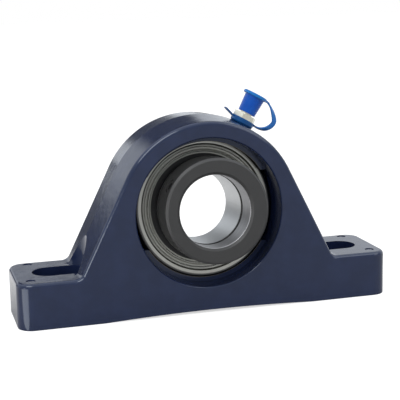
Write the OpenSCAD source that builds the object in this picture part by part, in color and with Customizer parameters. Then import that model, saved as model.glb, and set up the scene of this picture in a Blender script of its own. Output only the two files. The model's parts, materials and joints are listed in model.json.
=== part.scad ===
// Pillow block bearing unit: a one-piece cast housing with slotted feet, a spherical-seat ball
// bearing insert with an eccentric locking collar, and a capped grease nipple.
// Millimetres. Z is up, X runs along the base and the front of the unit faces -Y. The origin lies
// on the mounting plane, midway between the two bolts and midway through the depth.

/* [Foot] */
// Length of the base over its end faces
base_length = 162.6; // [158:0.2:190]
// Depth of the casting from front face to rear face
body_depth = 37; // [36:0.5:44]
// Height of the foot above the mounting plane
foot_height = 19.4; // [15:0.2:23]
// Radius of the foot's corners in plan
foot_corner_r = 6.5; // [3:0.5:8]
// Distance between the centres of the two bolt slots
bolt_spacing = 123; // [121:0.5:126]
// Width of a bolt slot
slot_width = 14; // [11:0.5:16]
// Length of a bolt slot from end to end
slot_length = 23; // [18:0.5:24]
// Radius of the clearance cut for a washer round each slot
washer_r = 12; // [10:0.5:14]
// Width of the hollow under the base
relief_span = 92; // [60:1:98]
// Height of the hollow under the base
relief_rise = 1.25; // [0.5:0.05:3]
// Radius of the shallow dimples in the foot
dimple_r = 2; // [1:0.25:3]
// Depth of the shallow dimples in the foot
dimple_depth = 0.3; // [0.2:0.1:1]
// Distance of the front dimples from the edges of the foot
dimple_inset = 6.2; // [5:0.1:7]
// Distance by which the rear dimples lie closer to the rear edge and further from the end
dimple_stagger = 2; // [0:0.5:3]

/* [Upright] */
// Height of the shaft's centre above the mounting plane
shaft_height = 42.9; // [41.5:0.1:48]
// Radius of the arch at the front and rear faces
arch_r = 39.3; // [38:0.1:42]
// Distance of the arch's centre below the shaft's centre
arch_drop = 0.9; // [0:0.1:2]
// Width of the upright where its flanks meet the foot
upright_width = 110.6; // [104:0.2:114]
// Rise of the cast outline at the parting line, midway through the depth
parting_rise = 1.2; // [0.4:0.1:2]
// Radius of the casting's outer edges
edge_r = 1.8; // [1:0.1:3]
// Radius of the fillet between flank and foot
root_r = 4; // [2:0.5:6]

/* [Seat in the housing] */
// Width of the machined spherical seat
seat_width = 21; // [19.5:0.5:23]
// Radial play between the seat and the outer ring
seat_play = 0.05; // [0.02:0.01:0.1]
// Step from the seat's sphere out to the cast recess
recess_step = 0.15; // [0.1:0.05:0.6]
// Widening of the cast recess from the seat to the face
recess_taper = 0.4; // [0.1:0.1:1]
// Radius of the edge round the recess
recess_edge_r = 0.8; // [0.3:0.1:1.2]
// Height of the two pockets that let the insert in
pocket_height = 31; // [20:1:36]
// Width of the grease groove in the seat
groove_width = 6; // [4:0.5:7]
// Depth of the grease groove in the seat
groove_depth = 0.8; // [0.4:0.1:1.5]
// Distance of the grease groove's centre in front of mid depth
groove_shift = 2.5; // [2:0.1:3.5]
// Radius of the grease drilling through the housing wall
drilling_r = 1.5; // [1:0.1:2]

/* [Bearing rings] */
// Angle by which the insert stands tilted in its seat, front end up
tilt = 5; // [0:0.5:5]
// Diameter of the outer ring's sphere
ring_d = 62; // [61:0.1:62.4]
// Width of the outer ring
ring_width = 17; // [16:0.5:18]
// Radius of the outer ring's rounded corners
ring_corner_r = 1.2; // [0.6:0.1:1.4]
// Step from the outer ring's lands out to its seal seats
seal_seat_step = 1.5; // [1.2:0.1:1.8]
// Depth of the outer ring's seal seats
seal_seat_depth = 2.5; // [2.2:0.1:2.7]
// Radius of the two oil holes through the outer ring
oil_hole_r = 0.9; // [0.5:0.1:1]
// Distance of the oil holes in front of the insert's centre
oil_hole_offset = 5; // [4.8:0.1:5.2]
// Diameter of the shaft bore
bore_d = 30; // [28:0.5:31]
// Length of the inner ring in front of the insert's centre
inner_front = 14.8; // [14:0.1:16]
// Length of the inner ring behind the insert's centre
inner_rear = 9; // [8:0.1:11]
// Distance between the inner ring's shoulders and the outer ring's lands
land_gap = 5.6; // [5.2:0.1:6]
// Length of the inner ring's shoulder in front of the insert's centre
shoulder_front = 9.6; // [9:0.1:10.5]
// Chamfer at the ends of the shaft bore
bore_chamfer = 0.6; // [0.3:0.1:1]

/* [Balls and cage] */
// Diameter of a ball
ball_d = 9.525; // [9:0.1:9.7]
// Radius of the circle through the centres of the balls
pitch_r = 23; // [22.5:0.1:23.5]
// Number of balls
ball_count = 9; // [9:1:9]
// Clearance between a ball and the bottom of each raceway
race_play = 0.08; // [0.03:0.01:0.15]
// Radius of the raceway grooves' section
race_r = 4.95; // [4.9:0.05:5.1]
// Thickness of the cage's sheet
cage_sheet = 0.8; // [0.5:0.1:0.9]
// Width of the cage from its inner to its outer edge
cage_width = 4; // [3:0.1:4.2]
// Clearance between a ball and its pocket in the cage
pocket_play = 0.3; // [0.15:0.05:0.35]
// Radius of a rivet's shank
rivet_r = 0.8; // [0.5:0.1:0.9]
// Radius of a rivet's head
rivet_head_r = 1.5; // [1.2:0.1:1.6]
// Height of a rivet's head
rivet_head_h = 0.7; // [0.4:0.1:1]

/* [Seals] */
// Thickness of the seal's steel shield
shield_sheet = 0.7; // [0.4:0.1:0.8]
// Distance of the shield's face inside the outer ring's face
shield_inset = 0.3; // [0.1:0.1:0.5]
// Width of the shield, from its inner edge to the seal seat
shield_width = 3.7; // [3.2:0.1:4.2]
// Height of the two beads pressed into the shield
bead_height = 0.5; // [0.2:0.1:0.6]
// Clearance between the seal lip and the inner ring
lip_play = 0.05; // [0.02:0.01:0.1]

/* [Locking collar] */
// Diameter of the collar
collar_d = 44.1; // [43:0.1:46]
// Length of the collar
collar_length = 15; // [13:0.5:17]
// Distance of the collar's rear end from the insert's centre
collar_start = 11.8; // [11:0.1:12.5]
// Chamfer at the collar's front edge
collar_chamfer = 1; // [0.4:0.1:1.5]
// Offset of the collar's outside from its bore, towards +X
collar_offset = 0.9; // [0:0.1:1.2]
// Clearance between the shaft and the collar's bore, on the radius
collar_bore_play = 0.15; // [0.1:0.05:0.3]
// Chamfer at the front end of the collar's bore
collar_bore_chamfer = 1.2; // [0.4:0.1:1.6]
// Radius of the eccentric end of the inner ring
eccentric_r = 18.4; // [18.2:0.1:18.6]
// Offset of the eccentric end from the shaft's axis
eccentricity = 0.9; // [0.6:0.1:1]
// Clearance between the eccentric end and the collar's recess, on the radius
eccentric_play = 0.35; // [0.35:0.05:0.5]
// Gap between the inner ring's end and the bottom of the collar's recess
recess_gap = 0.6; // [0.1:0.05:0.8]
// Direction of the eccentric's high side, from +X towards the top
eccentric_angle = 250; // [0:5:355]
// Direction of the set screw, from +X towards the top
screw_angle = 147; // [100:1:180]
// Distance of the set screw from the insert's centre
screw_offset = 21; // [20:0.5:22]
// Radius of the set screw's thread
screw_r = 3; // [2:0.25:3]
// Length of the set screw
screw_length = 5.4; // [4.5:0.1:6]
// Distance of the set screw's tip from the shaft
screw_standoff = 0.4; // [0.2:0.1:0.6]
// Width across the flats of the set screw's socket
socket_flats = 3; // [1.5:0.25:3]
// Depth of the set screw's socket
socket_depth = 2.8; // [1.5:0.1:3.2]

/* [Grease nipple] */
// Angle of the nipple from the vertical, towards +X
nipple_angle = 30; // [15:1:40]
// Radius of the nipple's threaded shank
shank_r = 3; // [2.5:0.1:3.2]
// Length of the nipple's shank below the strap ring
shank_length = 5.2; // [4:0.1:6]
// Clearance between a thread and its hole, on the radius
thread_play = 0.05; // [0.03:0.01:0.1]
// Depth of the nipple's hole below the end of its shank
shank_room = 1; // [0.5:0.1:2]
// Depth of the spot face for the strap ring, below the arch's crest line
spot_depth = 0.3; // [0.05:0.05:0.5]
// Width across the flats of the nipple's hexagon
hex_flats = 9; // [8:0.5:9]
// Height of the nipple's hexagon
hex_height = 2.1; // [1.8:0.1:4]
// Height of the nipple's head above the hexagon
head_height = 6.3; // [6:0.1:7]
// Radius of the nipple's head
head_r = 3.2; // [3:0.05:3.3]
// Radius of the grease passage through the nipple
passage_r = 0.85; // [0.6:0.05:0.9]
// Radius of the check ball in the nipple
check_ball_r = 1.15; // [1.1:0.01:1.18]
// Radius of the check spring's wire
spring_wire_r = 0.15; // [0.1:0.01:0.18]
// Number of turns of the check spring
spring_turns = 5; // [3:1:6]

/* [Nipple cap] */
// Thickness of the strap ring under the hexagon
strap_ring_t = 2.5; // [1.4:0.05:2.8]
// Radius of the strap ring
strap_ring_r = 5.25; // [5:0.05:5.8]
// Width by which the strap ring overhangs its spot face
ring_overhang = 0.35; // [0.1:0.05:0.6]
// Length of the pull tab on the strap ring
tab_length = 4.7; // [3:0.1:6]
// Width of the pull tab
tab_width = 3; // [2:0.1:4]
// Thickness of the pull tab
tab_t = 0.6; // [0.4:0.1:1]
// Angle at which the pull tab stands off the ring
tab_lift = 17; // [5:1:30]
// Radius of the cap at its open end
cap_low_r = 3.85; // [3.8:0.05:4.2]
// Radius of the cap below its flange
cap_top_r = 4.35; // [4.2:0.05:4.8]
// Radius of the cap's flange
cap_flange_r = 5.45; // [5:0.05:5.8]
// Thickness of the cap's flange
cap_flange_t = 1.2; // [0.8:0.1:1.6]
// Length of the cap
cap_length = 9; // [8.5:0.1:10]
// Gap between the hexagon and the cap
cap_gap = 0.75; // [0.3:0.05:1.2]
// Clearance between the nipple's head and the cap, on the radius
cap_play = 0.15; // [0.1:0.05:0.25]
// Width of the strap
strap_width = 2.2; // [1.5:0.1:3]
// Thickness of the strap
strap_t = 0.8; // [0.5:0.1:1]

/* [Hidden] */
$fn = 96;
eps = 0.01;
// How far a cut runs past the face that it opens
past = 1;
// Overlap of the casting's pieces, so that their surfaces cross and never only touch
lap = 0.02;

// Housing outline
half_depth = body_depth / 2;
// The pieces are made this deep to each side and are cut flush with the faces at the end
rough_depth = half_depth + lap;
arch_z = shaft_height - arch_drop;
foot_x = upright_width / 2;
// Angle at which each flank touches the arch, above the horizontal
flank_angle = atan2(foot_height - arch_z, foot_x)
    + acos(arch_r / norm([foot_x, foot_height - arch_z]));
core_inset = edge_r + 0.6;
// Centre of the root fillet, on the right
root_y = foot_height + root_r + lap;
root_t = (arch_z + (arch_r + root_r) * sin(flank_angle) - root_y) / cos(flank_angle);
root_x = (arch_r + root_r) * cos(flank_angle) + root_t * sin(flank_angle);
flank_length = root_t + root_r;
// Centre of the foot's rounded corners
corner_x = base_length / 2 - foot_corner_r;
corner_y = rough_depth - foot_corner_r;

// Seat and insert
ring_r = ring_d / 2;
seat_r = ring_r + seat_play;
recess_r = seat_r + recess_step;
half_seat = seat_width / 2;
half_ring = ring_width / 2;
bore_r = bore_d / 2;
ball_r = ball_d / 2;
// The balls run midway between the lands of the two rings
shoulder_r = pitch_r - land_gap / 2;
land_r = pitch_r + land_gap / 2;
seal_seat_r = land_r + seal_seat_step;
cage_inner_r = pitch_r - cage_width / 2;
cage_outer_r = pitch_r + cage_width / 2;
// Centres of the raceway grooves' sections
outer_race_r = pitch_r + ball_r + race_play - race_r;
inner_race_r = pitch_r - ball_r - race_play + race_r;
pocket_r = ball_r + pocket_play;
ball_pitch = 360 / ball_count;

// Collar
collar_r = collar_d / 2;
collar_end = collar_start + collar_length;
collar_bore_r = bore_r + collar_bore_play;
recess_floor = inner_front + recess_gap;
screw_tip = bore_r + screw_standoff;

// Nipple, measured from the shaft's axis along the nipple
crest_r = arch_r + parting_rise;
// Where the nipple's axis meets the arch's crest
nipple_crest = sqrt(crest_r * crest_r - pow(arch_drop * sin(nipple_angle), 2))
    - arch_drop * cos(nipple_angle);
spot_r = nipple_crest - spot_depth;
hole_base = spot_r - shank_length - shank_room;
hex_base = spot_r + strap_ring_t;
hex_top = hex_base + hex_height;
head_top = hex_top + head_height;
chamber_r = check_ball_r + 0.2;
chamber_base = hex_top + 1.2;
inlet_r = 0.8;
inlet_base = head_top - 0.6;
// The check ball rests on the 45 degree cone under the inlet
check_ball_z = inlet_base + inlet_r - (check_ball_r + 0.02) * sqrt(2);
coil_r = check_ball_r - spring_wire_r;
spring_top = check_ball_z - sqrt(pow(check_ball_r + spring_wire_r, 2) - coil_r * coil_r) - 0.03;
cap_base = hex_top + cap_gap;
cap_top = cap_base + cap_length;
cap_inner_r = head_r + cap_play;
lug_out = 0.5;

// Points of an arc round [cx, cy] from angle a0 to angle a1, in n steps
function arc(cx, cy, r, a0, a1, n) =
    [for (i = [0:n]) [cx + r * cos(a0 + (a1 - a0) * i / n), cy + r * sin(a0 + (a1 - a0) * i / n)]];

function reversed(p) = [for (i = [len(p) - 1:-1:0]) p[i]];

// Outer half of the casting's section: [outward offset, depth] from face to face, rising by
// `rise` at mid depth and rounded by edge_r at the two faces
function rim(rise) =
    let (a = atan2(rise, rough_depth))
    let (c = (edge_r * sin(a) - edge_r) / cos(a))
    concat(arc(c, edge_r - rough_depth, edge_r, -90, -a, 6), rise > 0 ? [[rise, 0]] : [],
        arc(c, rough_depth - edge_r, edge_r, a, 90, 6));

// A closed section from radius `inner` out to the rim drawn at radius `outer`
function rim_section(inner, outer, rise) =
    concat([[inner, -rough_depth]], [for (p = rim(rise)) [outer + p[0], p[1]]],
        [[inner, rough_depth]]);

// Turns a shape drawn facing up into one that faces the front
module facing() { rotate([90, 0, 0]) children(); }

// One side of the upright: flank and root fillet, drawn facing up
module flank() {
    translate([0, arch_z, 0]) rotate([0, 0, flank_angle]) rotate([90, 0, 0])
        linear_extrude(flank_length)
            polygon(rim_section(arch_r - core_inset - 1, arch_r - lap, parting_rise));
    translate([root_x, root_y, 0]) rotate([0, 0, 180 + flank_angle])
        rotate_extrude(angle = 90 - flank_angle)
            polygon(concat([[root_r + core_inset + 1, rough_depth]],
                reversed([for (p = rim(0)) [root_r - p[0], p[1]]]),
                [[root_r + core_inset + 1, -rough_depth]]));
}

// The arch, both flanks and the core between them
module upright() {
    facing() {
        translate([0, arch_z, 0]) rotate([0, 0, flank_angle - 8])
            rotate_extrude(angle = 196 - 2 * flank_angle)
                polygon(rim_section(0, arch_r, parting_rise));
        flank();
        mirror([1, 0, 0]) flank();
        linear_extrude(2 * rough_depth, center = true) upright_core();
    }
}

// Face of the core, a little inside the flanks
module upright_core() {
    top_x = (arch_r - core_inset) * cos(flank_angle);
    top_y = arch_z + (arch_r - core_inset) * sin(flank_angle);
    low_x = top_x + (top_y - 1) * tan(flank_angle);
    polygon([[-low_x, 1], [low_x, 1], [top_x, top_y], [-top_x, top_y]]);
}

// Section through one edge of the foot, from `inner` out to `out`, with a rounded top edge
function foot_edge(inner, out, top) =
    concat([[inner, 0], [out, 0]], arc(out - edge_r, top - edge_r, edge_r, 0, 90, 6), [[inner, top]]);

// One end of the foot: its two round corners and the flat end between them
module foot_end() {
    for (m = [0, 1]) mirror([0, m, 0]) translate([corner_x, -corner_y, 0]) rotate([0, 0, -90])
        rotate_extrude(angle = 90) polygon(foot_edge(0, foot_corner_r, foot_height + lap));
    translate([corner_x, corner_y, 0]) rotate([90, 0, 0]) linear_extrude(2 * corner_y)
        polygon(foot_edge(-past, foot_corner_r, foot_height + lap));
}

// The foot, with its top cut flush at the end
module foot() {
    difference() {
        union() {
            rotate([90, 0, 90]) linear_extrude(2 * corner_x, center = true)
                polygon(concat([[-rough_depth, 0], [rough_depth, 0]],
                    arc(rough_depth - edge_r, foot_height + lap - edge_r, edge_r, 0, 90, 6),
                    arc(edge_r - rough_depth, foot_height + lap - edge_r, edge_r, 90, 180, 6)));
            foot_end();
            mirror([1, 0, 0]) foot_end();
        }
        translate([-base_length, -body_depth, foot_height])
            cube([2 * base_length, 2 * body_depth, foot_height]);
    }
}

// Shallow hollow under the base, an arc through the whole depth
module base_relief() {
    half = relief_span / 2;
    r = (half * half + relief_rise * relief_rise) / (2 * relief_rise);
    a = asin(half / r);
    facing() linear_extrude(body_depth + 2 * past, center = true)
        polygon(concat([[half, -past]], arc(0, relief_rise - r, r, 90 - a, 90 + a, 16),
            [[-half, -past]]));
}

// A bolt slot with the clearance for a washer above the foot
module bolt_slot() {
    travel = slot_length - slot_width;
    translate([bolt_spacing / 2, 0, -past]) {
        for (s = [-1, 1]) translate([s * travel / 2, 0, 0])
            cylinder(d = slot_width, h = shaft_height);
        translate([-travel / 2, -slot_width / 2, 0]) cube([travel, slot_width, shaft_height]);
    }
    translate([bolt_spacing / 2, 0, foot_height]) cylinder(r = washer_r, h = shaft_height);
}

// A shallow dimple in the foot's top, at [x, y]
module dimple(x, y) {
    translate([x, y, foot_height - dimple_depth])
        cylinder(r = dimple_r, h = dimple_depth + past, $fn = 24);
}

module dimples() {
    for (side = [-1, 1]) {
        dimple(side * (base_length / 2 - dimple_inset), dimple_inset - half_depth);
        dimple(side * (base_length / 2 - dimple_inset - dimple_stagger),
            half_depth - dimple_inset + dimple_stagger);
    }
}

// The cast recess in one face, drawn from the seat outwards
module recess() {
    face_r = recess_r + recess_taper;
    rotate_extrude()
        polygon(concat([[0, half_seat], [recess_r, half_seat]],
            arc(face_r + recess_edge_r, half_depth - recess_edge_r, recess_edge_r, 180, 90, 4),
            [[face_r + recess_edge_r, half_depth + past], [0, half_depth + past]]));
}

// Everything that is cut round the shaft's axis
module cavity() {
    intersection() {
        sphere(r = seat_r);
        cylinder(r = seat_r + past, h = seat_width, center = true);
    }
    recess();
    mirror([0, 0, 1]) recess();
    intersection() {
        cylinder(r = recess_r, h = half_seat + past);
        translate([-recess_r - past, -pocket_height / 2, 0])
            cube([2 * (recess_r + past), pocket_height, half_seat + past]);
    }
    translate([0, 0, groove_shift - groove_width / 2])
        cylinder(r = seat_r + groove_depth, h = groove_width);
}

// Places children on the nipple's axis, with z measured from the shaft's axis
module on_nipple() { translate([0, 0, shaft_height]) rotate([0, nipple_angle, 0]) children(); }

module housing() color([0.21, 0.22, 0.31]) difference() {
    intersection() {
        union() {
            upright();
            foot();
        }
        translate([-base_length, -half_depth, 0])
            cube([2 * base_length, body_depth, 2 * shaft_height + arch_r]);
    }
    base_relief();
    bolt_slot();
    mirror([1, 0, 0]) bolt_slot();
    dimples();
    translate([0, 0, shaft_height]) facing() cavity();
    on_nipple() {
        translate([0, 0, seat_r / 2]) cylinder(r = drilling_r, h = hole_base + past - seat_r / 2);
        translate([0, 0, hole_base])
            cylinder(r = shank_r + thread_play, h = spot_r - hole_base + past);
        translate([0, 0, spot_r])
            cylinder(r = strap_ring_r - ring_overhang, h = strap_ring_t + past);
    }
}

module grease_nipple() color([0.72, 0.7, 0.62]) on_nipple() difference() {
    union() {
        translate([0, 0, spot_r - shank_length])
            cylinder(r = shank_r, h = shank_length + strap_ring_t + eps);
        translate([0, 0, hex_base]) cylinder(r = hex_flats / 2 / cos(30), h = hex_height, $fn = 6);
        rotate_extrude() polygon([[0, hex_top - 1], [2.6, hex_top - 1], [2.6, hex_top + 0.8],
            [2.1, hex_top + 1.4], [2.1, hex_top + 2.4], [head_r, head_top - 2.8],
            [head_r, head_top - 1.8], [2.4, head_top - 0.4], [1.5, head_top], [0, head_top]]);
    }
    translate([0, 0, spot_r - shank_length - 1])
        cylinder(r = passage_r, h = chamber_base - spot_r + shank_length + 2);
    rotate_extrude() polygon([[0, chamber_base], [chamber_r, chamber_base],
        [chamber_r, inlet_base - chamber_r + inlet_r], [inlet_r, inlet_base], [inlet_r, head_top + 1],
        [0, head_top + 1]]);
}

module nipple_ball() color([0.75, 0.76, 0.78]) on_nipple()
    translate([0, 0, check_ball_z]) sphere(r = check_ball_r, $fn = 32);

// Rings of points joined into a closed tube
module tube(rings) {
    n = len(rings[0]);
    m = len(rings);
    polyhedron(
        points = [for (ring = rings) for (p = ring) p],
        faces = concat(
            [[for (i = [0:n - 1]) i]],
            [for (j = [0:m - 2]) for (i = [0:n - 1])
                [j * n + i, (j + 1) * n + i, (j + 1) * n + (i + 1) % n]],
            [for (j = [0:m - 2]) for (i = [0:n - 1])
                [j * n + i, (j + 1) * n + (i + 1) % n, j * n + (i + 1) % n]],
            [[for (i = [n - 1:-1:0]) (m - 1) * n + i]]));
}

// One ring of the check spring's wire, at turn `t` of the coil
function wire_ring(t, z0, rise) =
    let (a = 360 * t)
    [for (i = [0:7]) let (b = 45 * i) let (r = coil_r + spring_wire_r * cos(b))
        [r * cos(a), r * sin(a), z0 + rise * t + spring_wire_r * sin(b)]];

module nipple_spring() color([0.7, 0.71, 0.73]) on_nipple() {
    z0 = chamber_base + spring_wire_r + 0.02;
    rise = (spring_top - z0) / spring_turns;
    tube([for (i = [0:spring_turns * 12]) wire_ring(i / 12, z0, rise)]);
}

module nipple_cap() color([0.11, 0.32, 0.69]) on_nipple() difference() {
    union() {
        rotate_extrude() polygon([[0, cap_base], [cap_low_r, cap_base],
            [cap_top_r, cap_top - cap_flange_t - 0.8], [cap_top_r, cap_top - cap_flange_t],
            [cap_flange_r, cap_top - cap_flange_t], [cap_flange_r, cap_top - 0.3],
            [cap_flange_r - 0.3, cap_top], [0, cap_top]]);
        translate([0, -strap_width / 2, cap_top - cap_flange_t + 0.1])
            cube([cap_flange_r + lug_out, strap_width, cap_flange_t - 0.3]);
    }
    translate([0, 0, cap_base - 1]) cylinder(r = cap_inner_r, h = head_top + 0.5 - cap_base + 1);
}

// The strap's middle line in the nipple's plane: [out from the axis, up along it, twist]
strap_high = cap_top - cap_flange_t / 2 - 0.05;
strap_low = hex_base - 0.55;
strap_bow = (strap_high + strap_low) / 2;
strap_line = [[cap_flange_r + lug_out + 0.02, strap_high, 0], [7.2, strap_high - 0.4, 10],
    [8.9, strap_high - 1.4, 25], [10.8, strap_high - 3, 50], [12.5, strap_high - 4.9, 70],
    [13.2, strap_bow - 0.6, 80], [12.7, strap_low + 3.3, 80], [11.3, strap_low + 1.5, 60],
    [9.3, strap_low + 0.4, 30], [7.6, strap_low, 10], [strap_ring_r + lug_out, strap_low, 0]];

// One ring of the strap at station i, turned by its twist about the middle line
function strap_ring_at(i) =
    let (a = strap_line[max(i - 1, 0)])
    let (b = strap_line[min(i + 1, len(strap_line) - 1)])
    let (end = i == 0 || i == len(strap_line) - 1)
    let (run = [b[0] - a[0], b[1] - a[1]])
    let (d = end ? [i == 0 ? 1 : -1, 0] : run / norm(run))
    let (p = strap_line[i])
    let (w = [-d[1] * sin(p[2]), cos(p[2]), d[0] * sin(p[2])])
    let (t = [-d[1] * cos(p[2]), -sin(p[2]), d[0] * cos(p[2])])
    [for (k = [[1, 0.5], [0.85, 1], [-0.85, 1], [-1, 0.5],
            [-1, -0.5], [-0.85, -1], [0.85, -1], [1, -0.5]])
        [p[0], 0, p[1]] + w * k[0] * strap_width / 2 + t * k[1] * strap_t / 2];

module cap_strap() color([0.11, 0.32, 0.69]) on_nipple()
    tube([for (i = [0:len(strap_line) - 1]) strap_ring_at(i)]);

module strap_ring() color([0.09, 0.24, 0.5]) on_nipple() difference() {
    union() {
        rotate_extrude() polygon([[0, spot_r], [strap_ring_r - ring_overhang - 0.1, spot_r],
            [strap_ring_r, spot_r + 0.6], [strap_ring_r, hex_base - 0.2],
            [strap_ring_r - 0.2, hex_base], [0, hex_base]]);
        translate([0, -strap_width / 2, strap_low - 0.45])
            cube([strap_ring_r + lug_out, strap_width, 0.9]);
        mirror([1, 0, 0]) translate([strap_ring_r - tab_t, -tab_width / 2, hex_base - 2 * tab_t])
            rotate([0, -tab_lift, 0]) cube([tab_length + tab_t, tab_width, tab_t]);
    }
    translate([0, 0, spot_r - 1]) cylinder(r = shank_r + thread_play, h = strap_ring_t + 2);
}

// Places children on the insert's axis, with z running towards the front from its centre
module on_insert() { translate([0, 0, shaft_height]) rotate([90 - tilt, 0, 0]) children(); }

// Outline that cuts the outer ring's sphere to width and rounds its corners
function ring_blank() =
    let (cy = half_ring - ring_corner_r)
    let (cx = sqrt(pow(ring_r - ring_corner_r + lap, 2) - cy * cy))
    let (a = atan2(cy, cx))
    let (out = ring_r + 2 * past)
    let (side = concat([[out * cos(a), out * sin(a)]], arc(cx, cy, ring_corner_r, a, 90, 6)))
    concat([for (q = side) [q[0], -q[1]]], [[0, -half_ring], [0, half_ring]], reversed(side));

module outer_ring() color([0.42, 0.42, 0.4]) on_insert() difference() {
    intersection() {
        sphere(r = ring_r);
        rotate_extrude() polygon(ring_blank());
    }
    cylinder(r = land_r, h = ring_width + 2 * past, center = true);
    rotate_extrude() translate([outer_race_r, 0]) circle(r = race_r);
    for (m = [0, 1]) mirror([0, 0, m]) translate([0, 0, half_ring - seal_seat_depth])
        cylinder(r = seal_seat_r, h = seal_seat_depth + past);
    for (a = [60, 240]) rotate([0, 0, a]) translate([land_r - past, 0, oil_hole_offset])
        rotate([0, 90, 0]) cylinder(r = oil_hole_r, h = ring_r - land_r + 2 * past, $fn = 24);
}

// Offset of the eccentric end and of the collar's recess
module on_eccentric() {
    rotate([0, 0, eccentric_angle]) translate([eccentricity, 0, 0]) children();
}

module inner_ring() color([0.7, 0.71, 0.72]) on_insert() difference() {
    union() {
        translate([0, 0, -inner_rear]) cylinder(r = shoulder_r, h = inner_rear + shoulder_front);
        on_eccentric() translate([0, 0, shoulder_front - past])
            cylinder(r = eccentric_r, h = inner_front - shoulder_front + past);
    }
    translate([0, 0, -inner_rear - past])
        cylinder(r = bore_r, h = inner_rear + inner_front + 2 * past);
    translate([0, 0, inner_front - bore_chamfer])
        cylinder(r1 = bore_r, r2 = bore_r + bore_chamfer + past, h = bore_chamfer + past);
    translate([0, 0, -inner_rear - past])
        cylinder(r1 = bore_r + bore_chamfer + past, r2 = bore_r, h = bore_chamfer + past);
    rotate_extrude() translate([inner_race_r, 0]) circle(r = race_r);
}

module ball(i) color([0.75, 0.76, 0.78]) on_insert()
    rotate([0, 0, ball_pitch * i]) translate([pitch_r, 0, 0]) sphere(r = ball_r, $fn = 48);
module ball_1() { ball(1); }
module ball_2() { ball(2); }
module ball_3() { ball(3); }
module ball_4() { ball(4); }
module ball_5() { ball(5); }
module ball_6() { ball(6); }
module ball_7() { ball(7); }
module ball_8() { ball(8); }
module ball_9() { ball(9); }

// One half of the ribbon cage: flat webs and a cup over each ball
module cage_half() {
    difference() {
        intersection() {
            difference() {
                cylinder(r = cage_outer_r, h = pocket_r + cage_sheet + past);
                translate([0, 0, -past])
                    cylinder(r = cage_inner_r, h = pocket_r + cage_sheet + 3 * past);
            }
            union() {
                cylinder(r = cage_outer_r + past, h = cage_sheet);
                for (i = [1:ball_count]) rotate([0, 0, ball_pitch * i]) translate([pitch_r, 0, 0])
                    sphere(r = pocket_r + cage_sheet, $fn = 48);
            }
        }
        for (i = [1:ball_count]) rotate([0, 0, ball_pitch * i]) translate([pitch_r, 0, 0])
            sphere(r = pocket_r, $fn = 48);
        for (i = [1:ball_count]) rotate([0, 0, ball_pitch * (i + 0.5)])
            translate([pitch_r, 0, -past])
                cylinder(r = rivet_r + 0.05, h = cage_sheet + 2 * past, $fn = 24);
    }
}

module cage_front() color([0.6, 0.61, 0.63]) on_insert() cage_half();
module cage_rear() color([0.55, 0.56, 0.58]) on_insert() mirror([0, 0, 1]) cage_half();

module cage_rivets() color([0.8, 0.8, 0.82]) on_insert()
    for (i = [1:ball_count]) rotate([0, 0, ball_pitch * (i + 0.5)]) translate([pitch_r, 0, 0]) {
        cylinder(r = rivet_r, h = 2 * cage_sheet + 0.2, center = true, $fn = 24);
        for (m = [0, 1]) mirror([0, 0, m]) translate([0, 0, cage_sheet])
            cylinder(r = rivet_head_r, h = rivet_head_h, $fn = 24);
    }

// Shield pressed into the outer ring, with two beads pressed round its face
shield_face = half_ring - shield_inset;
shield_back = shield_face - shield_sheet;
shield_inner_r = seal_seat_r - shield_width;
shield_rim_r = seal_seat_r - shield_sheet;
// The groove between the inner and the outer bead
groove_inner_r = shield_inner_r + 0.35 * (shield_rim_r - shield_inner_r);
groove_outer_r = shield_inner_r + 0.6 * (shield_rim_r - shield_inner_r);

// A rounded bead from radius r0 to r1, with its crest at z
function bead(r0, r1, z) =
    [for (i = [0:8]) [r0 + (r1 - r0) * i / 8, z - bead_height * (1 - sin(180 * i / 8))]];

module seal_shield() {
    rotate_extrude() polygon(concat(bead(shield_inner_r, groove_inner_r, shield_face),
        bead(groove_outer_r, seal_seat_r, shield_face),
        [[seal_seat_r, half_ring - seal_seat_depth], [shield_rim_r, half_ring - seal_seat_depth]],
        reversed(bead(groove_outer_r, shield_rim_r, shield_back)),
        reversed(bead(shield_inner_r, groove_inner_r, shield_back))));
}

// Rubber lip bonded to the back of the shield, reaching in to the inner ring's shoulder
module seal_lip() {
    tip_r = shoulder_r + lip_play;
    face = shield_face - bead_height;
    rotate_extrude() polygon(concat([[tip_r, shield_back - 0.2], [tip_r + 1.1, face],
        [shield_inner_r, face]], bead(shield_inner_r, groove_inner_r, shield_back),
        [[groove_inner_r, shield_back - 0.8], [tip_r + 2.2, shield_back - 1],
        [tip_r + 1, shield_back - 1.15], [tip_r, shield_back - 0.6]]));
}

module front_seal_shield() color([0.5, 0.5, 0.47]) on_insert() seal_shield();
module front_seal_lip() color([0.09, 0.09, 0.1]) on_insert() seal_lip();
module rear_seal_shield() color([0.5, 0.5, 0.47]) on_insert() mirror([0, 0, 1]) seal_shield();
module rear_seal_lip() color([0.09, 0.09, 0.1]) on_insert() mirror([0, 0, 1]) seal_lip();

// Places children on the set screw's axis, with z measured from the shaft's axis
module on_screw() {
    rotate([0, 0, screw_angle]) translate([0, 0, screw_offset]) rotate([0, 90, 0]) children();
}

module locking_collar() color([0.2, 0.2, 0.21]) on_insert() difference() {
    translate([collar_offset, 0, 0]) rotate_extrude()
        polygon([[0, collar_start], [collar_r - 0.5, collar_start], [collar_r, collar_start + 0.5],
            [collar_r, collar_end - collar_chamfer], [collar_r - collar_chamfer, collar_end],
            [0, collar_end]]);
    translate([0, 0, collar_start - past]) cylinder(r = collar_bore_r, h = collar_length + 2 * past);
    translate([0, 0, collar_end - collar_bore_chamfer])
        cylinder(r1 = collar_bore_r, r2 = collar_bore_r + collar_bore_chamfer + past,
            h = collar_bore_chamfer + past);
    on_eccentric() translate([0, 0, collar_start - past])
        cylinder(r = eccentric_r + eccentric_play, h = recess_floor - collar_start + past);
    on_screw() cylinder(r = screw_r + thread_play, h = collar_r + past);
}

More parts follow.
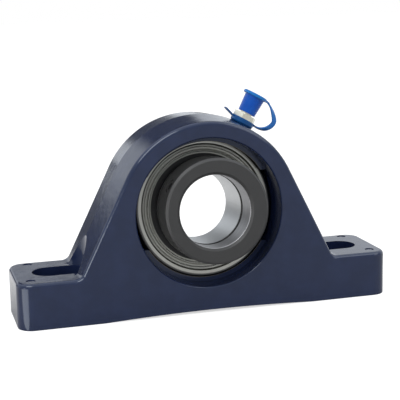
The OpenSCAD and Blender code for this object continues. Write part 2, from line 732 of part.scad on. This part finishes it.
module collar_set_screw() color([0.16, 0.16, 0.17]) on_insert() on_screw() difference() {
    rotate_extrude() polygon([[0, screw_tip], [screw_r - 1.3, screw_tip], [screw_r, screw_tip + 1.1],
        [screw_r, screw_tip + screw_length - 0.4], [screw_r - 0.4, screw_tip + screw_length],
        [0, screw_tip + screw_length]]);
    translate([0, 0, screw_tip + screw_length - socket_depth])
        cylinder(r = socket_flats / 2 / cos(30), h = socket_depth + past, $fn = 6);
}

housing();
grease_nipple();
nipple_ball();
nipple_spring();
nipple_cap();
cap_strap();
strap_ring();
outer_ring();
inner_ring();
ball_1();
ball_2();
ball_3();
ball_4();
ball_5();
ball_6();
ball_7();
ball_8();
ball_9();
cage_front();
cage_rear();
cage_rivets();
front_seal_shield();
front_seal_lip();
rear_seal_shield();
rear_seal_lip();
locking_collar();
collar_set_screw();
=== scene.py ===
"""Pillow block bearing: finishes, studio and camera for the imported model."""
import json
import math

import bmesh
import bpy
from mathutils import Matrix, Vector


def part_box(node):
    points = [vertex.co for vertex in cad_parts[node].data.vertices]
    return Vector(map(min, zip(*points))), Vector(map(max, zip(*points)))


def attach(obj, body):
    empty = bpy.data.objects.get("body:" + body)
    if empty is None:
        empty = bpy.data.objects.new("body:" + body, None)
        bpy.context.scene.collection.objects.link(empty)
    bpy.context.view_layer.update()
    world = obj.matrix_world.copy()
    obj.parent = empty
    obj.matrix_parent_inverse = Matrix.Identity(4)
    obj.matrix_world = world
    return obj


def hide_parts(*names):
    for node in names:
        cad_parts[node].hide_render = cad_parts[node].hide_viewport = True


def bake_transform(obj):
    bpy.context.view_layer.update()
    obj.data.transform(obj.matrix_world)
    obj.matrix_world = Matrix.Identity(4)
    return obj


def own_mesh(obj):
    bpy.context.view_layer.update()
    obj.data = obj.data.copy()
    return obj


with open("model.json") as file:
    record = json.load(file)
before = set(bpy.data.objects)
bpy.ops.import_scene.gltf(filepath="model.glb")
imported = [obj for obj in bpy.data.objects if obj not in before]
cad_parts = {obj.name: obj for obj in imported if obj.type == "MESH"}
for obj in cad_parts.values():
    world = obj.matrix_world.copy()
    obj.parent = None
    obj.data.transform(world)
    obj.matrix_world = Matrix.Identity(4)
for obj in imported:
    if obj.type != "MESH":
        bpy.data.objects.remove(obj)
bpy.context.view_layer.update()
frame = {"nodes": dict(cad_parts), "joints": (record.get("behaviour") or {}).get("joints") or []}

# Places and directions, read from the frame
MM = 0.001
JOINTS = {joint["name"]: joint for joint in frame["joints"]}
SHAFT_CENTRE = Vector(JOINTS["inner_spin"]["pos_m"])
SHAFT_AXIS = Vector(JOINTS["inner_spin"]["axis"])
NIPPLE_AXIS = Vector(JOINTS["cap_pull"]["axis"])
HOUSING_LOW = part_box("housing")[0]

# Camera, found by matching the housing's outline to the photograph
VIEW_AZIMUTH = -15.965
VIEW_ELEVATION = 11.646
VIEW_ROLL = -1.126
VIEW_DISTANCE = 471.94 * MM
VIEW_TARGET = Vector((0.813, 0, 45.004)) * MM
VIEW_LENS = 98.27
SENSOR_WIDTH = 36


class Nodes:
    """Short names for building a node tree of a material or of the world."""

    def __init__(self, tree):
        self.tree = tree
        self.coords = tree.nodes.new("ShaderNodeTexCoord")

    def node(self, kind, *values, out=0, **settings):
        """A new node with its inputs set or linked in order, and its output socket."""
        made = self.tree.nodes.new("ShaderNode" + kind)
        for key, value in settings.items():
            setattr(made, key, value)
        for socket, value in zip(made.inputs, values):
            self.put(value, socket)
        return made.outputs[out]

    def put(self, value, socket):
        """Links a node's output to a socket, or sets the socket to a plain value."""
        if isinstance(value, bpy.types.NodeSocket):
            self.tree.links.new(value, socket)
        elif value is not None:
            socket.default_value = value

    @property
    def place(self):
        return self.coords.outputs["Object"]

    @property
    def normal(self):
        return self.coords.outputs["Normal"]

    def calc(self, operation, a, b=0.5, c=0.5):
        return self.node("Math", a, b, c, operation=operation)

    def vector(self, operation, a, b=None, out=0):
        return self.node("VectorMath", a, b, operation=operation, out=out)

    def part(self, vector, axis):
        return self.node("SeparateXYZ", vector, out=axis)

    def step(self, value, low, high):
        """0 below low, 1 above high, smooth between them."""
        made = self.tree.nodes.new("ShaderNodeMapRange")
        made.interpolation_type = "SMOOTHSTEP"
        for socket, number in zip(made.inputs, (value, low, high, 0.0, 1.0)):
            self.put(number, socket)
        return made.outputs[0]

    def span(self, value, low, high):
        """value, from 0 to 1, stretched to run from low to high."""
        made = self.tree.nodes.new("ShaderNodeMapRange")
        for socket, number in zip(made.inputs, (value, 0.0, 1.0, low, high)):
            self.put(number, socket)
        return made.outputs[0]

    def rest(self, value):
        """1 where value is 0 and 0 where it is 1."""
        return self.calc("SUBTRACT", 1.0, value)

    def band(self, value, start, end):
        """1 between two smooth steps, each given by the two values it runs between."""
        return self.calc("SUBTRACT", self.step(value, *start), self.step(value, *end))

    def noise(self, size, detail=3.0, roughness=0.55, vector=None):
        """Noise from 0 to 1 whose features are about `size` metres across."""
        made = self.tree.nodes.new("ShaderNodeTexNoise")
        self.put(vector or self.place, made.inputs["Vector"])
        made.inputs["Scale"].default_value = 1 / size
        made.inputs["Detail"].default_value = detail
        made.inputs["Roughness"].default_value = roughness
        return made.outputs["Fac"]

    def blend(self, amount, a, b):
        """Colour a where amount is 0 and colour b where it is 1."""
        made = self.tree.nodes.new("ShaderNodeMix")
        made.data_type = "RGBA"
        self.put(amount, made.inputs["Factor"])
        for colour, socket in ((a, "A"), (b, "B")):
            colour = (*colour, 1) if isinstance(colour, tuple) else colour
            self.put(colour, [s for s in made.inputs if s.name == socket and s.type == "RGBA"][0])
        return [s for s in made.outputs if s.type == "RGBA"][0]

    def bump(self, height, distance, below=None):
        """Normal of a surface raised by height, from 0 to 1, times distance in metres."""
        made = self.tree.nodes.new("ShaderNodeBump")
        made.inputs["Distance"].default_value = distance
        self.put(height, made.inputs["Height"])
        if below:
            self.put(below, made.inputs["Normal"])
        return made.outputs[0]

    def along(self, centre, axis):
        """Distance along an axis through centre."""
        offset = self.vector("SUBTRACT", self.place, tuple(centre))
        return self.vector("DOT_PRODUCT", offset, tuple(axis), out=1)

    def away(self, centre, axis):
        """Distance from an axis through centre."""
        offset = self.vector("SUBTRACT", self.place, tuple(centre))
        across = self.vector("CROSS_PRODUCT", offset, tuple(axis))
        return self.vector("LENGTH", across, out=1)

    def rings(self, centre, axis, pitch):
        """Lines left by turning: noise that changes across the axis and along it, not round it."""
        flat = self.node("CombineXYZ", self.away(centre, axis), self.along(centre, axis), 0.0)
        return self.noise(pitch, 4.0, 0.7, flat)


class Finish(Nodes):
    """A material being built: its Principled shader and what feeds it."""

    def __init__(self, name, color, roughness, metallic=0.0, **uniform):
        self.material = bpy.data.materials.new(name)
        self.material.use_nodes = True
        super().__init__(self.material.node_tree)
        self.shader = self.tree.nodes["Principled BSDF"]
        self.material.diffuse_color = (*color, 1)
        self.shader.inputs["Base Color"].default_value = (*color, 1)
        self.shader.inputs["Roughness"].default_value = roughness
        self.shader.inputs["Metallic"].default_value = metallic
        for socket, value in uniform.items():
            self.shader.inputs[socket.replace("_", " ")].default_value = value

    def feed(self, **sockets):
        """Links what varies over the surface to the shader."""
        for name, value in sockets.items():
            self.put(value, self.shader.inputs[name.replace("_", " ")])


def dress(finish, *names):
    """Gives CAD nodes, or pieces, this finish in every material slot."""
    for name in names:
        item = frame["nodes"][name] if isinstance(name, str) else name
        if not item.data.materials:
            item.data.materials.append(finish.material)
        for index in range(len(item.material_slots)):
            item.material_slots[index].material = finish.material


# Pieces made here: the two that change shape when something moves

def reach(node):
    """How far from the shaft's axis a node starts and ends, along the nipple."""
    corners = frame["nodes"][node].data.vertices
    out = [(corner.co - SHAFT_CENTRE).dot(NIPPLE_AXIS) for corner in corners]
    return min(out), max(out)


def on_nipple(out, side, up):
    """The place of a point given from the nipple's axis, with `up` from the shaft's axis."""
    across = Vector((NIPPLE_AXIS.z, 0, -NIPPLE_AXIS.x))
    return SHAFT_CENTRE + across * out + Vector((0, side, 0)) + NIPPLE_AXIS * up


def tube(name, rings):
    """A closed, smooth tube through rings of points, with flat ends."""
    count, size = len(rings), len(rings[0])
    faces = [[j * size + i, j * size + (i + 1) % size,
              (j + 1) * size + (i + 1) % size, (j + 1) * size + i]
             for j in range(count - 1) for i in range(size)]
    faces += [list(range(size))[::-1], [(count - 1) * size + i for i in range(size)]]
    mesh = bpy.data.meshes.new(name)
    mesh.from_pydata([point for ring in rings for point in ring], [], faces)
    for face in mesh.polygons:
        face.use_smooth = len(face.vertices) == 4
    shape = bmesh.new()
    shape.from_mesh(mesh)
    bmesh.ops.recalc_face_normals(shape, faces=shape.faces)
    shape.to_mesh(mesh)
    shape.free()
    item = bpy.data.objects.new(name, mesh)
    bpy.context.scene.collection.objects.link(item)
    return item


STRAP_STEPS = 8
SECTION_POINTS = 16


def strap_line(low, high):
    """Points of the strap's middle line: out from the nipple, up along it, and its twist."""
    bow = (low + high) / 2
    line = [(6.57, high, 0), (7.2, high - 0.4 * MM, 10), (8.9, high - 1.4 * MM, 25),
            (10.8, high - 3 * MM, 50), (12.5, high - 4.9 * MM, 70), (13.2, bow - 0.6 * MM, 80),
            (12.7, low + 3.3 * MM, 80), (11.3, low + 1.5 * MM, 60), (9.3, low + 0.4 * MM, 30),
            (7.6, low, 10), (6.35, low, 0)]
    line = [Vector((out * MM, up, math.radians(twist))) for out, up, twist in line]
    last = len(line) - 1
    smooth = []
    for j in range(last):
        before, a, b, after = (line[min(max(k, 0), last)] for k in (j - 1, j, j + 1, j + 2))
        for k in range(STRAP_STEPS + (j == last - 1)):
            t = k / STRAP_STEPS
            smooth.append(0.5 * (2 * a + (b - before) * t
                                 + (2 * before - 5 * a + 4 * b - after) * t ** 2
                                 + (3 * a - before - 3 * b + after) * t ** 3))
    return smooth


def strap():
    """The cap's strap: a thin band that bows out and twists on its way down to its ring."""
    half_width, half_thickness = 1.1 * MM, 0.4 * MM
    width_squareness, thickness_squareness = 0.35, 0.6
    ring_to_line, flange_to_line = 1.95 * MM, 0.65 * MM
    low = reach("strap_ring")[0] + ring_to_line
    high = reach("nipple_cap")[1] - flange_to_line
    smooth = strap_line(low, high)
    rings = []
    for j, point in enumerate(smooth):
        run = smooth[min(j + 1, len(smooth) - 1)] - smooth[max(j - 1, 0)]
        run = Vector((run.x, run.y)).normalized()
        turn = point.z
        ring = []
        for k in range(SECTION_POINTS):
            c, s = (turned(math.tau * k / SECTION_POINTS) for turned in (math.cos, math.sin))
            wide = math.copysign(abs(c) ** width_squareness, c) * half_width
            thick = math.copysign(abs(s) ** thickness_squareness, s) * half_thickness
            across = wide * math.sin(turn) + thick * math.cos(turn)
            ring.append(on_nipple(point.x - run.y * across,
                                  wide * math.cos(turn) - thick * math.sin(turn),
                                  point.y + run.x * across))
        rings.append(ring)
    item = tube("strap_band", rings)
    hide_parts("cap_strap")
    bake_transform(item)
    return item


def spring():
    """The check spring, which shortens when the check ball is pushed in."""
    low, high = reach("nipple_spring")
    wire, coil = 0.15 * MM, 1.0 * MM
    turns, steps, sides = 5, 28, 10
    rings = []
    for j in range(turns * steps + 1):
        angle = math.tau * j / steps
        up = low + wire + (high - low - 2 * wire) * j / (turns * steps)
        ring = []
        for k in range(sides):
            round_wire = math.tau * k / sides
            out = coil + wire * math.cos(round_wire)
            ring.append(on_nipple(out * math.cos(angle), out * math.sin(angle),
                                  up + wire * math.sin(round_wire)))
        rings.append(ring)
    item = tube("spring_coil", rings)
    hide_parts("nipple_spring")
    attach(item, "housing_unit")
    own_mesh(item)
    return item


# Finishes

def housing_paint():
    """Navy enamel over cast iron; the seat and the pads underneath are bare machined iron."""
    seat_reach, pad_top = 31.2 * MM, 0.05 * MM
    f = Finish("housing_paint", (0.006, 0.008, 0.034), 0.2, IOR=1.5,
               Specular_Tint=(0.86, 0.93, 1, 1))
    from_centre = f.vector("DISTANCE", f.place, tuple(SHAFT_CENTRE), out=1)
    bare = f.calc("MAXIMUM", f.calc("LESS_THAN", from_centre, seat_reach),
                  f.calc("LESS_THAN", f.part(f.place, 2), pad_top))
    # The machined front and rear faces are smoother than the cast sides
    cast = f.span(f.step(f.calc("ABSOLUTE", f.part(f.normal, 1)), 0.8, 0.97), 1.0, 0.25)
    mottle = f.noise(9 * MM, 3.0)
    paint = f.blend(f.step(mottle, 0.35, 0.7), (0.0092, 0.0155, 0.047), (0.0115, 0.0190, 0.057))
    iron = f.blend(f.noise(0.6 * MM), (0.075, 0.066, 0.058), (0.16, 0.145, 0.13))
    swell = f.calc("MULTIPLY", f.noise(5 * MM, 2.0), cast)
    peel = f.calc("MULTIPLY", f.noise(0.9 * MM, 2.0), cast)
    f.feed(Base_Color=f.blend(bare, paint, iron),
           Roughness=f.blend(bare, f.span(f.noise(5 * MM), 0.11, 0.18), f.span(mottle, 0.35, 0.5)),
           Metallic=bare,
           Normal=f.bump(peel, 0.013 * MM, below=f.bump(swell, 0.07 * MM)))
    return f


def turned_steel(name, centre, axis, dark, light, roughness):
    """Ground or turned steel with fine lines round its axis."""
    f = Finish(name, light, roughness, 1.0)
    lines = f.rings(centre, axis, 0.25 * MM)
    f.feed(Base_Color=f.blend(f.step(lines, 0.3, 0.7), dark, light),
           Roughness=f.span(f.noise(1.5 * MM), roughness * 0.8, roughness * 1.25),
           Normal=f.bump(lines, 0.006 * MM))
    return f


def ring_steel():
    """Ground face of the outer ring, with painted shade on its rounded outer corner and down its
    sphere, which sit in the housing seat's shade.
    """
    shaded_corner_start, shaded_corner_end = 28.3 * MM, 28.8 * MM
    f = Finish("ring_steel", (0.4, 0.4, 0.37), 0.28, 1.0)
    lines = f.rings(SHAFT_CENTRE, SHAFT_AXIS, 0.25 * MM)
    face = f.blend(f.step(lines, 0.3, 0.7), (0.38, 0.38, 0.35), (0.52, 0.52, 0.49))
    # Painted shade: past the corner's start the ring is coloured dark grey, for the shade of the
    # housing's seat
    corner = f.step(f.away(SHAFT_CENTRE, SHAFT_AXIS), shaded_corner_start, shaded_corner_end)
    f.feed(Base_Color=f.blend(corner, face, (0.10, 0.10, 0.10)),
           Roughness=f.span(f.noise(1.5 * MM), 0.24, 0.36),
           Normal=f.bump(lines, 0.006 * MM))
    return f


def shield_steel():
    """Pressed sheet, with painted highlights on the crowns of its two beads and painted shade in
    between.
    """
    crown, pitch = 23.85 * MM, 1.95 * MM
    f = Finish("shield_steel", (0.5, 0.5, 0.46), 0.4, 1.0)
    lines = f.rings(SHAFT_CENTRE, SHAFT_AXIS, 0.3 * MM)
    # Painted highlights and shade: light rings on the bead crowns and dark rings between them,
    # added to the turning lines
    past_crown = f.calc("SUBTRACT", f.away(SHAFT_CENTRE, SHAFT_AXIS), crown)
    painted_highlight_wave = f.calc("COSINE", f.calc("MULTIPLY", past_crown, math.tau / pitch))
    lines_and_painted_highlights = f.calc("ADD", f.span(f.calc("MULTIPLY_ADD", painted_highlight_wave, 0.5, 0.5), 0.0, 0.8),
                  f.span(lines, -0.15, 0.35))
    f.feed(Base_Color=f.blend(lines_and_painted_highlights, (0.13, 0.13, 0.115), (0.88, 0.88, 0.82)),
           Roughness=f.span(f.noise(1.2 * MM), 0.36, 0.46),
           Normal=f.bump(lines, 0.008 * MM))
    return f


def bore_steel():
    """Ground bore of the inner ring, with painted shade at its front end, in the gap where the
    collar starts.
    """
    shaded_end_start, shaded_end_radius = 13.3 * MM, 17 * MM
    f = Finish("bore_steel", (0.6, 0.61, 0.62), 0.25, 1.0)
    lines = f.rings(SHAFT_CENTRE, SHAFT_AXIS, 0.25 * MM)
    # Painted shade: the bore's front end, in the gap before the collar, is coloured near black
    end = f.calc("MULTIPLY",
                 f.calc("GREATER_THAN", f.along(SHAFT_CENTRE, SHAFT_AXIS), shaded_end_start),
                 f.calc("LESS_THAN", f.away(SHAFT_CENTRE, SHAFT_AXIS), shaded_end_radius))
    steel = f.blend(f.step(lines, 0.3, 0.7), (0.50, 0.51, 0.52), (0.60, 0.61, 0.62))
    f.feed(Base_Color=f.blend(end, steel, (0.03, 0.03, 0.03)),
           Roughness=f.span(f.noise(1.5 * MM), 0.42, 0.52),
           Normal=f.bump(lines, 0.003 * MM))
    return f


def collar_finish():
    """Black oxide outside, worn to bright steel down the bore."""
    bore_radius = 15.35 * MM
    f = Finish("collar_black", (0.012, 0.012, 0.013), 0.36, IOR=1.6)
    lines = f.rings(SHAFT_CENTRE, SHAFT_AXIS, 0.4 * MM)
    bore = f.calc("LESS_THAN", f.away(SHAFT_CENTRE, SHAFT_AXIS), bore_radius)
    black = f.blend(f.noise(6 * MM, 3.0), (0.013, 0.013, 0.014), (0.023, 0.023, 0.023))
    steel = f.blend(f.step(lines, 0.3, 0.7), (0.22, 0.22, 0.23), (0.36, 0.36, 0.37))
    f.feed(Base_Color=f.blend(bore, black, steel),
           Roughness=f.span(f.noise(1.2 * MM), 0.42, 0.54), Metallic=bore,
           Normal=f.bump(lines, 0.01 * MM))
    return f


def screw_black():
    """Blackened steel with faint turning lines."""
    f = Finish("screw_black", (0.012, 0.012, 0.013), 0.36, IOR=1.6)
    lines = f.rings(SHAFT_CENTRE, SHAFT_AXIS, 0.4 * MM)
    f.feed(Base_Color=f.blend(f.noise(6 * MM, 3.0), (0.009, 0.009, 0.010), (0.018, 0.018, 0.018)),
           Roughness=f.span(f.noise(1.2 * MM), 0.32, 0.44),
           Normal=f.bump(lines, 0.01 * MM))
    return f


def seal_lip():
    """Black rubber, with the shield's steel edge showing round its outside."""
    edge_start, edge_end = 22.9 * MM, 23.1 * MM
    f = Finish("seal_rubber", (0.010, 0.010, 0.011), 0.55, IOR=1.45)
    grain = f.noise(0.3 * MM, 2.0)
    steel = f.step(f.away(SHAFT_CENTRE, SHAFT_AXIS), edge_start, edge_end)
    black = f.blend(f.noise(4 * MM), (0.007, 0.007, 0.008), (0.016, 0.016, 0.017))
    f.feed(Base_Color=f.blend(steel, black, (0.34, 0.34, 0.31)),
           Roughness=f.blend(steel, f.span(grain, 0.5, 0.65), (0.4, 0.4, 0.4)), Metallic=steel,
           Normal=f.bump(grain, 0.01 * MM))
    return f


def blue_plastic(name, dark, light):
    """Soft moulded plastic with an uneven surface, with painted light on the cap's flange."""
    flange_start, flange_end = 1.6 * MM, 1.2 * MM
    f = Finish(name, light, 0.33, IOR=1.42, Subsurface_Weight=0.08,
               Subsurface_Radius=(0.0005, 0.0008, 0.002), Specular_Tint=(0.6, 0.85, 1, 1))
    top = reach("nipple_cap")[1]
    # Painted light: the cap's flange is coloured a lighter blue than the rest of the same plastic
    painted_light_flange = f.step(f.along(SHAFT_CENTRE, NIPPLE_AXIS), top - flange_start, top - flange_end)
    body = f.blend(f.noise(3 * MM, 2.0), dark, light)
    f.feed(Base_Color=f.blend(painted_light_flange, body, (0.012, 0.15, 0.46)),
           Roughness=f.span(f.noise(0.8 * MM), 0.16, 0.26),
           Normal=f.bump(f.noise(1.8 * MM, 1.0), 0.12 * MM))
    return f


def zinc():
    """Zinc plating with a faint yellow cast."""
    f = Finish("nipple_zinc", (0.62, 0.6, 0.5), 0.32, 1.0)
    f.feed(Base_Color=f.blend(f.noise(1.2 * MM, 3.0), (0.62, 0.60, 0.48), (0.86, 0.85, 0.76)),
           Roughness=f.span(f.noise(0.5 * MM), 0.25, 0.42),
           Normal=f.bump(f.noise(0.25 * MM), 0.004 * MM))
    return f


dress(housing_paint(), "housing")
dress(ring_steel(), "outer_ring")
dress(bore_steel(), "inner_ring")
dress(shield_steel(), "front_seal_shield", "rear_seal_shield")
dress(seal_lip(), "front_seal_lip", "rear_seal_lip")
dress(turned_steel("cage_steel", SHAFT_CENTRE, SHAFT_AXIS,
                   (0.45, 0.45, 0.46), (0.6, 0.6, 0.61), 0.35),
      "cage_front", "cage_rear", "cage_rivets")
dress(turned_steel("ball_steel", SHAFT_CENTRE, SHAFT_AXIS,
                   (0.68, 0.68, 0.7), (0.75, 0.75, 0.77), 0.08),
      *["ball_%d" % number for number in range(1, 10)], "nipple_ball")
dress(turned_steel("spring_steel", SHAFT_CENTRE, NIPPLE_AXIS,
                   (0.5, 0.5, 0.52), (0.6, 0.6, 0.62), 0.3),
      spring())
dress(collar_finish(), "locking_collar")
dress(screw_black(), "collar_set_screw")
dress(zinc(), "grease_nipple")
dress(blue_plastic("cap_plastic", (0.001, 0.050, 0.34), (0.004, 0.085, 0.44)), "nipple_cap")
# Painted light: the thin strap gets a lighter blue than the cap, for light shining through it
dress(blue_plastic("strap_plastic_painted_light", (0.014, 0.11, 0.40), (0.03, 0.16, 0.47)), strap())
# Painted shade: the strap ring gets a darker blue than the cap, for the grease nipple's hexagon
# shading it
dress(blue_plastic("strap_ring_plastic_painted_shade", (0.002, 0.050, 0.19), (0.006, 0.080, 0.26)),
      "strap_ring")


# Studio

def degrees(*angles):
    return [math.radians(angle) for angle in angles]


def floor():
    """Pale floor that keeps the object's shadow.

    For glossy rays only it is a painted reflection: it glows lighter close behind the object, is
    darker far behind, and glows bright in a painted highlight strip beside the left foot's front
    corner.
    """
    half, drop, corner_radius = 3.0, 0.02 * MM, 3 * MM
    camera_level, behind_level, painted_highlight_level = 0.6, 0.55, 3.2
    mesh = bpy.data.meshes.new("floor")
    corners = [(-half, -half, 0), (half, -half, 0), (half, half, 0), (-half, half, 0)]
    mesh.from_pydata(corners, [], [(0, 1, 2, 3)])
    item = bpy.data.objects.new("floor", mesh)
    bpy.context.scene.collection.objects.link(item)
    f = Finish("floor", (0.6, 0.6, 0.6), 0.9, Specular_IOR_Level=0.1, Emission_Color=(1, 1, 1, 1))
    rays = f.tree.nodes.new("ShaderNodeLightPath").outputs
    gloss = rays["Is Glossy Ray"]
    depth = f.part(f.place, 1)
    behind = f.calc("MULTIPLY", f.step(depth, 0.0, 0.1), behind_level)
    far = f.step(depth, 0.15, 0.35)
    from_foot = f.vector("SUBTRACT", f.place, (HOUSING_LOW.x + corner_radius, HOUSING_LOW.y, 0))
    swing = f.calc("ARCTAN2", f.part(from_foot, 1), f.calc("MULTIPLY", f.part(from_foot, 0), -1.0))
    # Painted highlight: glossy rays see the floor glow in this strip, which lays a bright line on
    # the foot's rounded front corner
    painted_highlight_strip = f.calc("MULTIPLY", f.band(swing, degrees(-62, -50), degrees(-8, 2)),
                    f.rest(f.step(f.vector("LENGTH", from_foot, out=1), 0.07, 0.1)))
    painted_reflection = f.calc("MULTIPLY_ADD", painted_highlight_strip, painted_highlight_level, f.calc("MULTIPLY", behind, f.rest(far)))
    # Painted reflection: far behind, glossy rays see the floor dark
    f.feed(Base_Color=f.blend(f.calc("MULTIPLY", gloss, far), (0.6, 0.6, 0.6), (0.1, 0.1, 0.1)),
           Emission_Strength=f.calc("ADD", f.calc("MULTIPLY", rays["Is Camera Ray"], camera_level),
                                    f.calc("MULTIPLY", gloss, painted_reflection)))
    mesh.materials.append(f.material)
    item.location.z = HOUSING_LOW.z - drop


def room():
    """White to the camera. As light it is a pale room, and gloss shows dark parts behind it."""
    front_level, back_level, ceiling_level, dark_level = 0.65, 1.1, 0.6, 0.08
    front_light, back_light = 0.6, 0.8
    world = bpy.data.worlds.new("room")
    bpy.context.scene.world = world
    world.use_nodes = True
    f = Nodes(world.node_tree)
    right, back, up = (f.part(f.coords.outputs["Generated"], axis) for axis in range(3))
    rays = f.tree.nodes.new("ShaderNodeLightPath").outputs
    gloss = rays["Is Glossy Ray"]
    to_back = f.step(back, -0.3, 0.3)
    # Angle round the line to the back, from the right over the top: it tells the arch's
    # crest, the middle of the back wall and the left flank apart
    around = f.calc("ARCTAN2", up, right)
    crest = f.calc("MULTIPLY", f.band(around, degrees(44, 56), degrees(108, 132)),
                   f.rest(f.step(back, 0.945, 0.958)))
    centre = f.calc("MULTIPLY", f.band(around, degrees(15, 35), degrees(100, 125)),
                    f.step(back, 0.965, 0.975))
    flank = f.step(around, *degrees(164, 171))
    dark = f.calc("MULTIPLY", f.step(back, 0.6, 0.75),
                  f.calc("MAXIMUM", f.calc("MAXIMUM", crest, centre), flank))
    ceiling = f.calc("MULTIPLY", f.step(up, 0.5, 0.8), ceiling_level)
    seen = f.calc("MULTIPLY", f.calc("ADD", f.span(to_back, front_level, back_level), ceiling),
                  f.span(dark, 1.0, dark_level))
    light = f.calc("MULTIPLY", f.rest(gloss), f.span(to_back, front_light, back_light))
    level = f.calc("ADD", f.calc("MULTIPLY", gloss, seen), light)
    white = f.calc("MAXIMUM", rays["Is Camera Ray"], rays["Is Transmission Ray"])
    background = f.tree.nodes["Background"].inputs
    f.put(f.blend(gloss, (1.0, 1.0, 1.0), (0.92, 0.96, 1.0)), background["Color"])
    f.put(f.calc("MAXIMUM", level, white), background["Strength"])


def softbox(name, place, target, size, watts):
    """A soft rectangular lamp that the camera doesn't see."""
    lamp = bpy.data.lights.new(name, "AREA")
    lamp.shape = "RECTANGLE"
    lamp.size, lamp.size_y = size
    lamp.energy = watts
    item = bpy.data.objects.new(name, lamp)
    bpy.context.scene.collection.objects.link(item)
    item.visible_camera = False
    item.location = Vector(place)
    aim = Vector(target) - Vector(place)
    item.rotation_euler = aim.to_track_quat("-Z", "Y").to_euler()


def camera():
    """The photograph's view, with its small roll."""
    azimuth, elevation, roll = degrees(VIEW_AZIMUTH, VIEW_ELEVATION, VIEW_ROLL)
    back = Vector((math.sin(azimuth) * math.cos(elevation),
                   -math.cos(azimuth) * math.cos(elevation), math.sin(elevation)))
    right = (-back).cross(Vector((0, 0, 1))).normalized()
    up = right.cross(-back)
    turned_right = right * math.cos(roll) + up * math.sin(roll)
    turned_up = up * math.cos(roll) - right * math.sin(roll)
    turn = Matrix((turned_right, turned_up, back)).transposed().to_4x4()
    data = bpy.data.cameras.new("camera")
    data.sensor_width = SENSOR_WIDTH
    data.lens = VIEW_LENS
    data.clip_start, data.clip_end = 0.01, 20
    item = bpy.data.objects.new("camera", data)
    bpy.context.scene.collection.objects.link(item)
    item.matrix_world = Matrix.Translation(VIEW_TARGET + back * VIEW_DISTANCE) @ turn
    bpy.context.scene.camera = item


camera()
floor()
room()
softbox("key", (-0.5, -0.6, 0.9), (0, 0, 0.03), (0.6, 0.6), 5.5)
softbox("low left", (-0.75, -0.45, 0.12), (0, 0, 0.02), (0.25, 0.3), 1.5)
softbox("fill", (0.7, -0.5, 0.7), (0, 0, 0.03), (0.7, 0.7), 3)

bpy.context.scene.view_settings.view_transform = "Standard"
